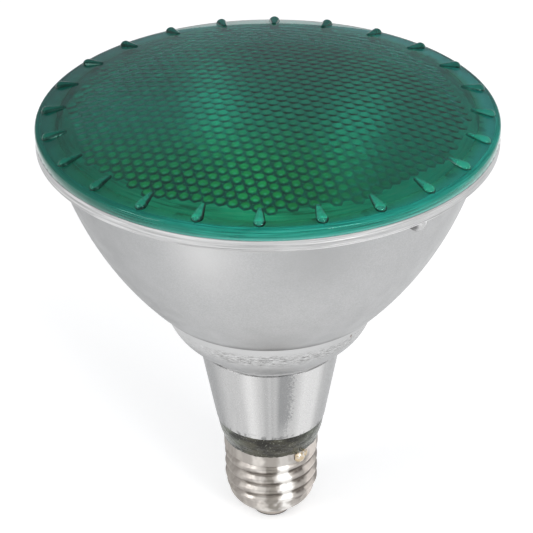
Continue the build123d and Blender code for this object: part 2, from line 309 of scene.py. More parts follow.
class Shape:
    """A mesh in the making: points in millimetres, faces, and the number of each face's material."""

    def __init__(self):
        self.vertices = []
        self.faces = []
        self.numbers = []

    def ring(self, points):
        """Adds the points of one ring and gives their numbers."""
        first = len(self.vertices)
        self.vertices.extend(points)
        return list(range(first, len(self.vertices)))

    def bridge(self, *rings):
        """Faces between each ring and the next, of which one may be a single point."""
        for lower, upper in zip(rings, rings[1:]):
            count = max(len(lower), len(upper))
            for i in range(count):
                j = (i + 1) % count
                if len(lower) == 1:
                    self.faces.append((lower[0], upper[j], upper[i]))
                elif len(upper) == 1:
                    self.faces.append((lower[i], lower[j], upper[0]))
                else:
                    self.faces.append((lower[i], lower[j], upper[j], upper[i]))

    def zip_rings(self, first, second):
        """Triangles between two rings with different numbers of points, which start at the same angle."""
        i = 0
        j = 0
        n = len(first)
        m = len(second)
        start = math.atan2(self.vertices[first[0]][1], self.vertices[first[0]][0])

        def turn(ring, k):
            if k == len(ring):
                return 2 * math.pi
            x, y, _ = self.vertices[ring[k]]
            return (math.atan2(y, x) - start + TINY) % (2 * math.pi)

        while i < n or j < m:
            if j == m or (i < n and turn(first, i + 1) <= turn(second, j + 1)):
                self.faces.append((first[i], first[(i + 1) % n], second[j % m]))
                i += 1
            else:
                self.faces.append((first[i % n], second[(j + 1) % m], second[j]))
                j += 1

    def ball(self, place, rows):
        """A ball with rows from pole to pole. The function turns each direction into a point."""
        rings = []
        for i in range(rows + 1):
            tilt = math.pi * i / rows
            points = []
            for j in range(2 * rows if 0 < i < rows else 1):
                side = polar(math.sin(tilt), 180 * j / rows, math.cos(tilt))
                points.append(tuple(place(Vector(side))))
            rings.append(self.ring(points))
        self.bridge(*rings)

    def number(self, number):
        """Gives the faces that have no material's number yet this one."""
        self.numbers += [number] * (len(self.faces) - len(self.numbers))

    def piece(self, name, materials, crease=35):
        """The smooth mesh piece, its normals outwards."""
        mesh = bpy.data.meshes.new(name)
        mesh.from_pydata([Vector(v) * MM for v in self.vertices], [], self.faces)
        for material in materials:
            mesh.materials.append(material)
        if self.numbers:
            mesh.polygons.foreach_set("material_index", self.numbers)
        build = bmesh.new()
        build.from_mesh(mesh)
        bmesh.ops.recalc_face_normals(build, faces=build.faces)
        build.to_mesh(mesh)
        build.free()
        mesh.polygons.foreach_set("use_smooth", [True] * len(mesh.polygons))
        if crease:
            mesh.set_sharp_from_angle(angle=math.radians(crease))
        piece = bpy.data.objects.new(name, mesh)
        bpy.context.scene.collection.objects.link(piece)
        return piece


def dress(piece, slot, *nodes):
    """Puts a new piece on the lamp, in the place of its nodes."""
    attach(piece, "root")
    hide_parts(*nodes)


def around(radius, level, segments, shift):
    """Points of a circle about the axis. The shift, if there is one, moves each of them by its angle."""
    points = []
    for i in range(segments):
        angle = 360 * i / segments
        r, z = shift(angle, radius, level) if shift else (radius, level)
        points.append(polar(r, angle, z))
    return points


def turned(name, runs, segments=ROUND, shift=None, crease=35):
    """A closed turned piece. Each run of its half section has its points and its material."""
    profile = []
    for number, (points, _) in enumerate(runs):
        for point in points:
            if not profile or math.dist(profile[-1][0], point) > SAME:
                profile.append((point, number))
    shape = Shape()
    rings = []
    for (radius, level), _ in profile:
        on_axis = radius < SAME
        rings.append(shape.ring([(0, 0, level)] if on_axis else around(radius, level, segments, shift)))
    for i, ring in enumerate(rings):
        j = (i + 1) % len(rings)
        if len(ring) > 1 or len(rings[j]) > 1:
            shape.bridge(ring, rings[j])
            shape.number(profile[j][1])
    return shape.piece(name, [material for _, material in runs], crease)


# Materials


class Value:
    """A node's output. Each step of reckoning with it adds a node."""

    def __init__(self, nodes, socket):
        self.nodes = nodes
        self.socket = socket

    def math(self, operation, other=0.0):
        return self.nodes.value("ShaderNodeMath", {0: self, 1: other}, operation=operation)

    def __add__(self, other):
        return self.math("ADD", other)

    def __sub__(self, other):
        return self.math("SUBTRACT", other)

    def __mul__(self, other):
        return self.math("MULTIPLY", other)

    def __truediv__(self, other):
        return self.math("DIVIDE", other)

    def __abs__(self):
        return self.math("ABSOLUTE")

    def off_whole(self):
        """How far the value is past the nearest whole number, from -0.5 to 0.5."""
        return (self + 0.5).math("FRACT") - 0.5

    def ramp(self, low, high, to_low=0.0, to_high=1.0):
        """Maps the value smoothly from one range to another and stops at its ends."""
        inputs = {"Value": self, "From Min": low, "From Max": high, "To Min": to_low, "To Max": to_high}
        return self.nodes.value("ShaderNodeMapRange", inputs, "Result", interpolation_type="SMOOTHSTEP")

    def spread(self, low=0.0, high=1.0):
        """Maps the range that a noise mostly has to another."""
        return self.ramp(0.3, 0.7, low, high)

    def band(self, low, high, soft, softer=None):
        """1 between two values and 0 outside them, with soft ends, of which the upper may be softer."""
        end = softer or soft
        return self.ramp(low - soft, low + soft) * self.ramp(high + end, high - end)


def long_side(a, b):
    """Length of the long side over two sides at a right angle."""
    return (a * a + b * b).math("SQRT")


class Nodes:
    """Adds nodes to a tree. What goes into a node is a number, a colour or a Value."""

    def __init__(self, tree):
        self.tree = tree

    def add(self, kind, inputs, **settings):
        node = self.tree.nodes.new(kind)
        for key, value in settings.items():
            setattr(node, key, value)
        for key, value in inputs.items():
            self.join(node.inputs[key], value)
        return node

    def value(self, kind, inputs, output=0, **settings):
        return Value(self, self.add(kind, inputs, **settings).outputs[output])

    def join(self, socket, value):
        if isinstance(value, Value):
            self.tree.links.new(value.socket, socket)
        elif socket.type == "RGBA":
            socket.default_value = (*value, 1)
        else:
            socket.default_value = value

    def split(self, place):
        """X, Y and Z of a place."""
        return [Value(self, socket) for socket in self.add("ShaderNodeSeparateXYZ", {0: place}).outputs]

    def mix(self, factor, a, b):
        """A mix of two colours."""
        node = self.add("ShaderNodeMix", {"Factor": factor}, data_type="RGBA")
        colours = [socket for socket in node.inputs if socket.type == "RGBA"]
        self.join(colours[0], a)
        self.join(colours[1], b)
        return Value(self, next(socket for socket in node.outputs if socket.type == "RGBA"))


class Paint(Nodes):
    """Builds one material step by step, with places in millimetres and turns in degrees, 0 at the front."""

    def __init__(self, name, **values):
        self.material = bpy.data.materials.new(name)
        self.material.use_nodes = True
        super().__init__(self.material.node_tree)
        self.shader = self.tree.nodes["Principled BSDF"]
        place = self.value("ShaderNodeTexCoord", {}, "Object")
        self.place = self.value("ShaderNodeVectorMath", {0: place, "Scale": 1 / MM}, operation="SCALE")
        self.x, self.y, self.z = self.split(self.place)
        self.distance = long_side(self.x, self.y)
        self.turn = self.x.math("ARCTAN2", self.y * -1) * math.degrees(1)
        for socket, value in values.items():
            self.set(socket.replace("_", " "), value)

    def set(self, socket, value):
        self.join(self.shader.inputs[socket], value)

    def noise(self, size, detail=3, stretch=(1, 1, 1), roughness=0.5):
        """Noise from 0 to 1 with grains of a size, which the stretch makes longer along an axis."""
        share = tuple(1 / (size * s) for s in stretch)
        place = self.value("ShaderNodeVectorMath", {0: self.place, 1: share}, operation="MULTIPLY")
        return self.noise_at(place, detail, roughness)

    def noise_at(self, place, detail, roughness=0.5):
        inputs = {"Vector": place, "Scale": 1, "Detail": detail, "Roughness": roughness}
        return self.value("ShaderNodeTexNoise", inputs, "Fac")

    def lines_round(self, width, length, detail=3):
        """Noise in lines round the axis, with a width in millimetres and a length in degrees."""
        x, y = [axis / self.distance * (math.degrees(1) / length) for axis in (self.x, self.y)]
        across = (self.z - self.distance) / width
        return self.noise_at(self.value("ShaderNodeCombineXYZ", {0: x, 1: y, 2: across}), detail)

    def start(self, factor, low, high):
        """Begins the base colour with two tones."""
        self.base = self.mix(factor, low, high)

    def tone(self, factor, colour):
        """Lays one more tone on the base colour."""
        self.base = self.mix(factor, self.base, colour)

    def bump(self, height, depth):
        """Adds a bump of a depth in millimetres to what the shader has."""
        node = self.add("ShaderNodeBump", {"Height": height, "Distance": depth * MM, "Strength": 1})
        socket = self.shader.inputs["Normal"]
        if socket.is_linked:
            self.tree.links.new(socket.links[0].from_socket, node.inputs["Normal"])
        self.tree.links.new(node.outputs[0], socket)

    def finish(self, roughness):
        """Sets the base colour and the roughness, and gives the material."""
        self.set("Base Color", self.base)
        self.set("Roughness", roughness)
        return self.material


def glass_paint(name, clear=1, **values):
    """Starts a glass that lets a share of the light through."""
    return Paint(name, IOR=1.5, Transmission_Weight=clear, **values)


def grey(value, warm=0.0):
    """A grey, with a little more red and less blue where it is warm."""
    return (value * (1 + warm), value, value * (1 - warm))


def green_glass():
    """Green pressed glass, with painted light and shade: lighter and bluer left of the middle, a bluer haze
    away from the front and at the right, and darker at the far left.
    """
    paint = glass_paint("green_glass")
    cloud = paint.noise(26)
    paint.start(cloud, (0.06, 0.48, 0.27), (0.075, 0.54, 0.30))
    # Painted light and shade: lighter and bluer left of the middle, a bluer haze away from the front and at
    # the right, darker at the far left.
    paint.tone(paint.x.ramp(-2, -24) * 0.75, (0.065, 0.68, 0.42))
    paint.tone(paint.y.ramp(-42, -8), paint.mix(cloud, (0.08, 0.51, 0.42), (0.10, 0.55, 0.45)))
    paint.tone(paint.x.ramp(5, 42) * 0.6, (0.085, 0.60, 0.50))
    paint.tone(paint.x.ramp(-26, -52) * 0.25, (0.06, 0.30, 0.22))
    paint.bump(paint.noise(7, detail=1), 0.02)
    return paint.finish(paint.noise(9, detail=4).ramp(0.35, 0.75, 0.015, 0.05))


def lenslet_distance(paint, behind=0.0):
    """Distance from the nearest lenslet's centre, or from a place behind it, in shares of the pitch."""
    turn = math.radians(lenslet_turn)
    x = paint.x
    y = paint.y - behind * lenslet_pitch
    along = x * math.cos(turn) + y * math.sin(turn)
    across = y * math.cos(turn) - x * math.sin(turn)
    distances = []
    for shift in (0, 0.5):
        sides = []
        for value, step in ((along, 1), (across, math.sqrt(3))):
            place = value / (lenslet_pitch * step) + shift
            sides.append(place.off_whole() * step)
        distances.append(long_side(*sides))
    return distances[0].math("MINIMUM", distances[1])


def lenslet_glass():
    """The lens's inner face: green lenslets, each with a painted pale highlight and a painted dark crescent
    of shade at its front, brighter in the outer row, painted darker at the right and with evener painted
    shade towards the back.
    """
    paint = glass_paint("lenslet_glass")
    uneven = paint.noise(1.4, detail=2).spread(-0.05, 0.05)
    # Painted highlight spot and painted crescent of shade on each lenslet.
    spot = lenslet_distance(paint, -0.04) + uneven
    crescent = (lenslet_distance(paint, 0.14) + uneven).ramp(0.21, 0.44)
    corner = lenslet_distance(paint).ramp(0.5, 0.56)
    outer_row = paint.distance.ramp(lenslet_zone - 2, lenslet_zone + 0.5)
    paint.start(paint.noise(3.2, detail=2).ramp(0.36, 0.64), (0.062, 0.65, 0.095), (0.13, 0.93, 0.18))
    paint.tone(outer_row * 0.8, (0.20, 1, 0.28))
    paint.tone(spot.ramp(0.2, 0.05) * 0.9, (0.45, 1, 0.65))
    paint.tone(crescent, (0.008, 0.045, 0.07))
    paint.tone(corner, (0.05, 0.36, 0.22))
    # Painted shade at the right; towards the back the painted light and shade is evener.
    paint.tone(paint.x.ramp(4, 26) * 0.72, (0.05, 0.25, 0.20))
    paint.tone(paint.y.ramp(-42, 0), paint.mix(crescent, (0.096, 0.70, 0.51), (0.078, 0.50, 0.40)))
    return paint.finish(paint.noise(5).spread(0.03, 0.08))


def band_glass():
    """The lens's smooth inner band between the lenslets and the mouth, with pressing lines round it, painted
    lighter and bluer at the right and with painted shade at the left.
    """
    paint = glass_paint("band_glass")
    lines = paint.lines_round(1.3, 13)
    paint.start(lines.ramp(0.34, 0.52), (0.015, 0.20, 0.12), (0.085, 0.88, 0.53))
    paint.tone(lines.ramp(0.54, 0.66), (0.30, 1, 0.72))
    # Painted light at the right and painted shade at the left.
    paint.tone(paint.x.ramp(12, 40) * 0.7, (0.05, 0.84, 0.70))
    paint.tone(paint.x.ramp(-14, -45) * 0.7, (0.03, 0.34, 0.29))
    paint.bump(lines, 0.03)
    return paint.finish(lines.spread(0.02, 0.1))


def edge_glass():
    """The same glass at the lens's edge: cloudier and bluer, with a painted pale highlight and painted glints
    just over the seam, and painted shade at the left and the back.
    """
    paint = glass_paint("edge_glass", clear=0.5, Specular_Tint=(0.35, 0.6, 0.55))
    lines = paint.lines_round(0.3, 10, detail=4)
    # Painted highlight just over the seam, with painted glints in it.
    low = paint.z.ramp(seam + 1, seam + 0.4) * 0.8
    painted_glints = paint.lines_round(0.25, 1.2, detail=2).ramp(0.62, 0.74)
    paint.start(paint.noise(5), (0.012, 0.31, 0.225), (0.022, 0.39, 0.30))
    paint.tone(lines.ramp(0.5, 0.34) * 0.8, (0.004, 0.13, 0.10))
    paint.tone(lines.ramp(0.52, 0.68) * 0.8, (0.05, 0.58, 0.47))
    paint.tone(low, (0.20, 0.74, 0.64))
    paint.tone(painted_glints * low, (0.5, 0.9, 0.82))
    # Painted shade at the left and the back.
    paint.tone(paint.x.ramp(0, -46) * 0.72, (0.012, 0.11, 0.08))
    paint.tone(paint.y.ramp(-15, 25) * 0.9, (0.022, 0.10, 0.085))
    paint.bump(lines, 0.03)
    return paint.finish(paint.noise(3, detail=4).ramp(0.35, 0.75, 0.03, 0.09))


def bead_glass():
    """The beads: clear green, with painted shade at the left and the back, and a painted dark outline of
    shade where they leave the dome, wider at each bead's right.
    """
    paint = glass_paint("bead_glass", clear=0.72, Specular_Tint=(0.3, 0.7, 0.58))
    cloud = paint.noise(1.2)
    turns = (paint.turn - (bead_start + 90)) / bead_spacing
    right_of_middle = turns.off_whole() * math.radians(bead_spacing) * paint.distance
    height = long_side(paint.distance, paint.z - dome_centre) - dome_radius
    # Painted shade: dark where a bead meets the dome, reaching higher up its right side.
    foot = (height - right_of_middle.ramp(0.1, 1.2, 0, 0.45)).ramp(0.6, 0.18)
    paint.start(cloud, (0.03, 0.50, 0.33), (0.10, 0.80, 0.56))
    # Painted shade at the left and the back.
    paint.tone(paint.x.ramp(-15, -50) * 0.7, (0.012, 0.13, 0.095))
    paint.tone(paint.y.ramp(-30, 20) * 0.9, (0.025, 0.13, 0.105))
    paint.tone(foot, (0.003, 0.03, 0.024))
    paint.bump(paint.noise(0.9, detail=2), 0.05)
    return paint.finish(cloud.spread(0.02, 0.05))


def seal():
    """The bond between the lens and the flange, seen through the lens's edge: green inside, paler outside,
    with painted shade at the left.
    """
    paint = Paint("seal")
    cloud = paint.noise(1.2, detail=4)
    dashes = paint.noise(2.6).ramp(0.54, 0.66) * 0.6
    outside = (paint.distance + cloud * 0.8).ramp(mouth_radius + 0.2, mouth_radius + 3.4)
    paint.start(dashes, (0.24, 0.66, 0.52), (0.06, 0.2, 0.15))
    paint.tone(outside, paint.mix(cloud, (0.30, 0.80, 0.86), (0.40, 0.90, 0.95)))
    # Painted shade at the left.
    paint.tone(paint.x.ramp(-12, -50) * 0.7, (0.07, 0.36, 0.30))
    return paint.finish(cloud.spread(0.5, 0.7))


def silver_coat():
    """Satin silver outside the glass: uneven and with painted light and shade on the bowl, worn and with a
    painted highlight on the flange, scuffed and with painted light on the heel, and a painted shade line
    along the bowl's lower edge.
    """
    paint = Paint("silver_coat", Metallic=1)
    grain = paint.noise(0.42, roughness=0.7)
    low_grain = paint.z.ramp(step_level + 26, step_level + 8, 0.7, 1)
    smear = paint.z + paint.noise(2.4) * 0.5
    paint.start(paint.noise(16), grey(0.465, -0.010), grey(0.515, -0.004))
    paint.tone(grain.spread() * low_grain, grey(0.38))
    silver_on_bowl(paint)
    silver_on_flange(paint)
    pits = silver_on_heel(paint)
    # Painted shade line along the bowl's lower edge, above the step.
    step_line = smear.band(step_level - 0.2, step_level + 2.5, 0.1, 0.9)
    paint.tone(step_line * 0.62, grey(0.16))
    paint.bump(grain, 0.012)
    paint.bump(pits * -1, 0.08)
    return paint.finish(paint.noise(5).spread(0.34, 0.44))


def silver_on_bowl(paint):
    """Painted light and shade on the bowl: a painted sheen high up left of the front, a painted darker
    reflection high up right of it, and painted shade at its left and low down.
    """
    high = paint.z.ramp(flange_bottom - 24, flange_bottom - 3)
    # Painted sheen: a bright band high up, left of the front.
    painted_sheen = paint.turn.band(-24, -10, 8) * high
    # Painted reflection: a darker band high up, right of the front.
    thin = paint.turn.band(3, 22, 9) * high
    # Painted shade at the bowl's left, deepest low down.
    left = paint.turn.band(-112, -43, 23)
    low_left = left * paint.z.ramp(step_level + 28, step_level + 6)
    paint.tone(painted_sheen * 0.85, grey(0.60, 0.004))
    paint.tone(thin * 0.85, grey(0.375, -0.004))
    paint.tone(left * 0.9, grey(0.27, -0.012))
    # Painted shade low on the bowl.
    paint.tone(paint.z.ramp(step_level + 22, step_level) * 0.75, grey(0.39, -0.01))
    paint.tone(low_left * 0.7, grey(0.13, -0.012))


def silver_on_flange(paint):
    """Rubbed and stained lines round the flange, and a painted highlight on its lower edge at the right of
    the front.
    """
    on_flange = paint.z.ramp(flange_bottom - 0.3, flange_bottom + 0.3)
    lines = paint.lines_round(0.4, 16)
    # Painted highlight along the flange's lower edge.
    edge = paint.z.band(flange_bottom - 0.05, flange_bottom + 0.4, 0.1)
    paint.tone(on_flange * 0.6, grey(0.53))
    paint.tone(lines.ramp(0.5, 0.62) * on_flange * 0.7, grey(0.66))
    paint.tone(lines.ramp(0.46, 0.34) * on_flange * 0.7, grey(0.34))
    paint.tone(edge * paint.turn.band(8, 46, 5), grey(0.95))


def silver_on_heel(paint):
    """Painted light high on the heel, the heel's scratches and its brown speck. Gives the scratches, which
    are bumps too.
    """
    # Painted light: the upper part of the heel lighter.
    painted_top_light = paint.z.band(heel_bottom + 7.5, step_level - 0.3, 2.5, 0.4)
    on_heel = paint.z.band(heel_bottom + 7.4, heel_bottom + 11.2, 1.4)
    worn_side = paint.turn.band(-34, 62, 10).ramp(0, 1, 0.3, 1)
    scratch = paint.noise(0.5, detail=6, stretch=(3.2, 3.2, 0.6), roughness=0.8)
    pits = scratch.ramp(0.5, 0.61) * on_heel * worn_side
    speck = paint.turn.band(48.4, 49.8, 0.5) * paint.z.band(step_level - 3.6, step_level - 2.8, 0.25)
    paint.tone(painted_top_light * 0.85, grey(0.565))
    paint.tone(pits * 0.72, grey(0.15, 0.03))
    paint.tone(scratch.ramp(0.44, 0.36) * on_heel * 0.6, grey(0.85))
    paint.tone(speck * 0.8, (0.16, 0.09, 0.06))
    return pits


def lug_silver():
    """The lug's silver, with painted shade at its left and a painted highlight at its right."""
    paint = Paint("lug_silver", Metallic=1)
    side = paint.turn - (lug_angle + 90)
    cloud = paint.noise(1.2)
    paint.start(cloud, grey(0.46), grey(0.54))
    # Painted shade at the lug's left and a painted highlight at its right.
    paint.tone(side.ramp(-0.9, -1.9) * 0.9, grey(0.12))
    paint.tone(side.band(1, 1.9, 0.3), grey(1))
    paint.bump(cloud, 0.02)
    return paint.finish(cloud.spread(0.2, 0.32))


def mirror_coat():
    """The silvering inside the bowl."""
    paint = Paint("mirror_coat", Metallic=1)
    paint.start(paint.noise(12), grey(0.84), grey(0.9))
    paint.bump(paint.noise(3, detail=2), 0.01)
    return paint.finish(paint.noise(4).spread(0.44, 0.54))


def skirt_metal():
    """Bright spun aluminium with upright streaks, painted reflections in upright bands (bright ones, a darker
    middle and a mottled dark band right of the front), painted shade at its sides and left, and marks at its
    foot.
    """
    paint = Paint("skirt_metal", Metallic=1)
    turn = paint.turn
    level = paint.z - skirt_bottom
    mottle = paint.noise(0.5, detail=4, stretch=(1, 1, 1.4), roughness=0.65)
    cloud = paint.noise(6, stretch=(1, 1, 4))
    streak = paint.noise(1.6, detail=2, stretch=(1, 1, 16))
    # Painted shade at the left.
    left = turn.band(-115, -52, 14)
    # Painted reflections: bright upright bands.
    bright = turn.band(-23, -12.5, 5).math("MAXIMUM", turn.band(26, 47, 5))
    # Painted reflection: a darker band at the front with a paler line in it.
    middle = turn.band(-6.5, 4, 2.5)
    middle_line = turn.band(-2.2, 0.4, 0.9)
    # Painted dark reflection: a mottled band right of the front.
    ragged = turn - level.ramp(0, 10, -5, 0) + (mottle - 0.5) * 26
    dull = turn.ramp(2.5, 9) * ragged.ramp(22, 15) * level.ramp(1, 9, 0.6, 0.95)
    marks = paint.noise(1.2, detail=4).ramp(0.52, 0.64) * level.ramp(2.2, 0.4)
    paint.start(cloud, grey(0.475, 0.002), grey(0.53, 0.005))
    paint.tone(streak.ramp(0.4, 0.75) * 0.3, grey(0.42))
    # Painted shade towards the sides.
    paint.tone(abs(turn).ramp(40, 72) * 0.9, grey(0.33, -0.01))
    paint.tone(left * 0.7, grey(0.21, -0.01))
    paint.tone(bright * 0.85, grey(0.675, 0.006))
    paint.tone(middle * 0.9, grey(0.40))
    paint.tone(middle_line * 0.35, grey(0.52))
    paint.tone(dull, grey(0.27, -0.01))
    paint.tone(marks * 0.7, grey(0.14))
    paint.bump(paint.noise(0.4, detail=2, stretch=(1, 1, 3)), 0.008)
    paint.bump(cloud, 0.05)
    return paint.finish(mottle.spread(0.24, 0.38))


def dark_insulator():
    """The dark glossy ring, with paler cloudy patches towards its left and right, and painted glints."""
    paint = Paint("dark_insulator", Specular_IOR_Level=0.32, Coat_Weight=0.12, Coat_Roughness=0.08)
    cloud = paint.noise(3.4, stretch=(1.5, 1.5, 0.7))
    paler_side_patches = paint.mix(cloud.ramp(0.36, 0.66), (0.03, 0.036, 0.028), (0.17, 0.19, 0.155))
    # Painted glints: small pale specks.
    painted_glints = paint.noise(0.45, detail=2).ramp(0.63, 0.72)
    paint.start(cloud.ramp(0.38, 0.66), (0.010, 0.009, 0.005), (0.062, 0.060, 0.040))
    paint.tone(abs(paint.turn).ramp(22, 55) * 0.7, paler_side_patches)
    paint.tone(painted_glints * 0.6, (0.36, 0.38, 0.32))
    paint.bump(paint.noise(2.4, detail=2, stretch=(1.4, 1.4, 0.8)), 0.5)
    return paint.finish(cloud.spread(0.08, 0.34))


def nickel():
    """Warm worn nickel on the rolled shell: upright streaks, painted highlights in upright bands and a
    painted highlight column on the thread, a painted dark reflection at the front below the collar, and
    painted shade in the grooves.
    """
    paint = Paint("nickel", Metallic=1)
    level = paint.z
    depth = paint.distance - core_radius
    cloud = paint.noise(5)
    streak = paint.noise(2.6, detail=2, stretch=(1, 1, 9))
    lean = level.ramp(round_level + 1, shell_lip, 0, 10)
    ragged = paint.noise(2.2, detail=1, stretch=(1, 1, 1.3)).spread(-4, 4)
    turn = paint.turn - lean + ragged
    under_collar = level.ramp(collar_bottom + 0.4, collar_bottom - 0.8, 0.35, 1)
    # Painted highlight: a bright upright column on the thread, right of the front.
    column = turn.band(10, 25, 5) * under_collar * level.ramp(shell_lip, round_level, 0.55, 1)
    threaded = level.band(round_level + 0.6, collar_bottom, 0.6)
    # Painted shade in the grooves right of the column.
    dark_side = turn.band(32, 45, 4) * depth.ramp(0.8, 0.25) * threaded
    off_column = column.ramp(0, 1, 1, 0.05)
    off_left = turn.band(-100, -38, 14).ramp(0, 1, 1, 0.1)
    # Painted shade in the groove floors, less in the column and at the left.
    painted_groove_shade = depth.ramp(0.3, 0.05) * threaded * cloud.ramp(0.3, 0.6, 0.5, 0.85) * off_column * off_left
    paint.start(cloud, (0.36, 0.335, 0.31), (0.41, 0.38, 0.355))
    paint.tone(streak.ramp(0.42, 0.7) * 0.8, (0.50, 0.47, 0.435))
    # Painted highlights and a painted dark reflection in upright bands.
    paint.tone(turn.band(-21, -11, 6), (0.66, 0.625, 0.585))
    paint.tone(turn.band(-6, 6, 4) * under_collar, (0.25, 0.23, 0.205))
    paint.tone(column, (0.84, 0.825, 0.80))
    paint.tone(turn.band(50, 75, 6), (0.74, 0.69, 0.65))
    paint.tone(dark_side, (0.14, 0.12, 0.11))
    paint.tone(painted_groove_shade, (0.17, 0.15, 0.13))
    paint.bump(paint.noise(0.6, stretch=(1, 1, 0.4)), 0.01)
    matt = abs(turn).ramp(30, 50) * 0.36 + column * 0.12
    return paint.finish(paint.noise(1.5, detail=4).spread(0.32, 0.44) + matt)


def solder(name, flux_share):
    """Soft bright solder with a share of yellow flux on it, and painted shade where it meets the collar."""
    paint = Paint(name, Metallic=0.85)
    grain = paint.noise(1.1, detail=2)
    paint.start(grain.ramp(0.3, 0.62) * flux_share, grey(0.72, 0.01), (0.52, 0.36, 0.14))
    # Painted shade round the drop's foot.
    paint.tone(paint.distance.ramp(collar_radius + 0.3, collar_radius + 0.1), (0.09, 0.075, 0.055))
    paint.bump(paint.noise(0.5), 0.05)
    return paint.finish(grain.spread(0.2, 0.34))


def plain_metal(name, dark, light, rough, edge=None):
    """Dull metal of two tones, with painted shade round its lower edge if it has one."""
    paint = Paint(name, Metallic=1)
    cloud = paint.noise(1.4, detail=4)
    paint.start(cloud, dark, light)
    if edge is not None:
        # Painted shade at the lower edge.
        paint.tone(paint.z.ramp(edge + 0.75, edge + 0.2), (0.06, 0.055, 0.05))
    paint.bump(paint.noise(0.5), 0.02)
    return paint.finish(cloud.spread(rough - 0.06, rough + 0.08))


def cap_glass():
    """The dull grey glass of the insulator."""
    paint = Paint("cap_glass", Coat_Weight=0.2)
    cloud = paint.noise(2)
    paint.start(cloud, grey(0.14, 0.06), grey(0.24, 0.06))
    paint.bump(paint.noise(1.2, detail=2), 0.05)
    return paint.finish(cloud.spread(0.25, 0.4))


def dry_cement():
    """Pale, rough cement."""
    paint = Paint("dry_cement")
    cloud = paint.noise(0.9, detail=5)
    paint.start(cloud, grey(0.42), grey(0.54))
    paint.bump(cloud, 0.2)
    return paint.finish(cloud.spread(0.75, 0.95))


def stem_glass():
    """The clear glass of the exhaust tube."""
    paint = glass_paint("stem_glass")
    cloud = paint.noise(2)
    paint.start(cloud, (0.86, 0.9, 0.88), (0.93, 0.95, 0.94))
    paint.bump(paint.noise(1.5, detail=2), 0.03)
    return paint.finish(cloud.spread(0.01, 0.06))


# Lens


def bead_reach_at(radius):
    """Square of the bead's own radius at a distance from the lamp's axis, less than 0 past its ends."""
    share = min(max((radius - bead_tail) / bead_length, 0.0), 1.0)
    own = bead_tail_radius + share * (bead_head_radius - bead_tail_radius)
    past = max(bead_tail - radius, radius - bead_head, 0.0)
    return own**2 - past**2


def bead_height(radius, side):
    """How far a bead stands over the dome at a distance from its middle line."""
    reach = bead_reach_at(radius) - side**2
    return max(math.sqrt(max(reach, 0.0)) - bead_sink, 0.0)


def bead_half_width(radius):
    """Half the width of a bead where it meets the dome."""
    return max(math.sqrt(max(bead_reach_at(radius) - bead_sink**2, 0.0)), bead_least_half)


def bead_row(radius):
    """Places of one fine ring as pairs of angle and height. They follow the beads' outlines."""
    half = bead_half_width(radius)
    across = [half * share for share in bead_columns]
    clear = [half + side for side in bead_sides]
    room = math.radians(bead_spacing) * radius - 2 * clear[-1]
    wide = [clear[-1] + room * i / bead_gap_steps for i in range(1, bead_gap_steps)]
    sides = [-s for s in reversed(across[1:] + clear)] + across + clear + wide
    places = []
    for i in range(bead_count):
        for side in sides:
            height = bead_height(radius, side) if abs(side) < half else 0.0
            places.append((bead_start + bead_spacing * i + math.degrees(side / radius), height))
    return places


def bead_radii():
    """Radii of the fine rings, closer at the beads' round ends."""
    head_end = math.sqrt(bead_head_radius**2 - bead_sink**2)
    tail_end = math.sqrt(bead_tail_radius**2 - bead_sink**2)
    bends = [math.sin(math.radians(angle)) for angle in bead_end_bends]
    rings = [bead_zone, (bead_zone + bead_tail - tail_end) / 2, bead_tail - tail_end - bead_end_gap]
    rings += [bead_tail - tail_end * bend for bend in bends]
    rings += [bead_tail + bead_length * i / bead_body_steps for i in range(bead_body_steps + 1)]
    rings += [bead_head + head_end * bend for bend in reversed(bends)]
    return rings


def on_dome(radius, angle, height=0.0):
    """A point on the lens's dome, or over it."""
    level = dome_level(radius)
    out = radius / dome_radius
    up = (level - dome_centre) / dome_radius
    return polar(radius + out * height, angle, level + up * height)


def under_dome(x, y, height):
    """A point on the lens's inner face, or a height below it."""
    level = dome_level(math.hypot(x, y), lens_thickness)
    share = 1 - height / (dome_radius - lens_thickness)
    return (x * share, y * share, dome_centre + (level - dome_centre) * share)


def lenslet_place(row, column):
    """A lenslet's centre before the grid is turned. Every second row is half a pitch along."""
    return Vector(((column + 0.5 * (row % 2)) * lenslet_pitch, row * lenslet_row))


def lenslet_centres():
    """Centres of the lenslets: a hexagonal grid inside the lenslet zone."""
    rows = int(lenslet_zone / lenslet_row) + 1
    turn = Matrix.Rotation(math.radians(lenslet_turn), 2)
    centres = []
    for row in range(-rows, rows + 1):
        for column in range(-rows - 2, rows + 3):
            place = turn @ lenslet_place(row, column)
            if place.length <= lenslet_zone:
                centres.append(place)
    return centres


def inside_lenslets(place):
    """Whether a place lies in the cell of a lenslet."""
    local = Matrix.Rotation(-math.radians(lenslet_turn), 2) @ place
    middle_row = round(local.y / lenslet_row)
    near = []
    for row in (middle_row - 1, middle_row, middle_row + 1):
        near.append(lenslet_place(row, round(local.x / lenslet_pitch - 0.5 * (row % 2))))
    nearest = min(near, key=lambda centre: (centre - local).length)
    return nearest.length <= lenslet_zone


def cell_ring(step):
    """One hexagonal ring of a lenslet's cell, as pairs of a place from its centre and a height."""
    reach = lenslet_pitch / math.sqrt(3) * step / lenslet_steps
    turns = [math.radians(lenslet_turn) + math.pi * (k / 3 + 1 / 6) for k in range(6)]
    corners = [Vector((math.cos(turn), math.sin(turn))) for turn in turns]
    ring = []
    for k in range(6):
        for i in range(step):
            place = corners[k].lerp(corners[(k + 1) % 6], i / step) * reach
            share = 1 - (place.length / (lenslet_pitch * lenslet_cap)) ** 2
            ring.append((place, lenslet_height * max(0.0, share)))
    return ring


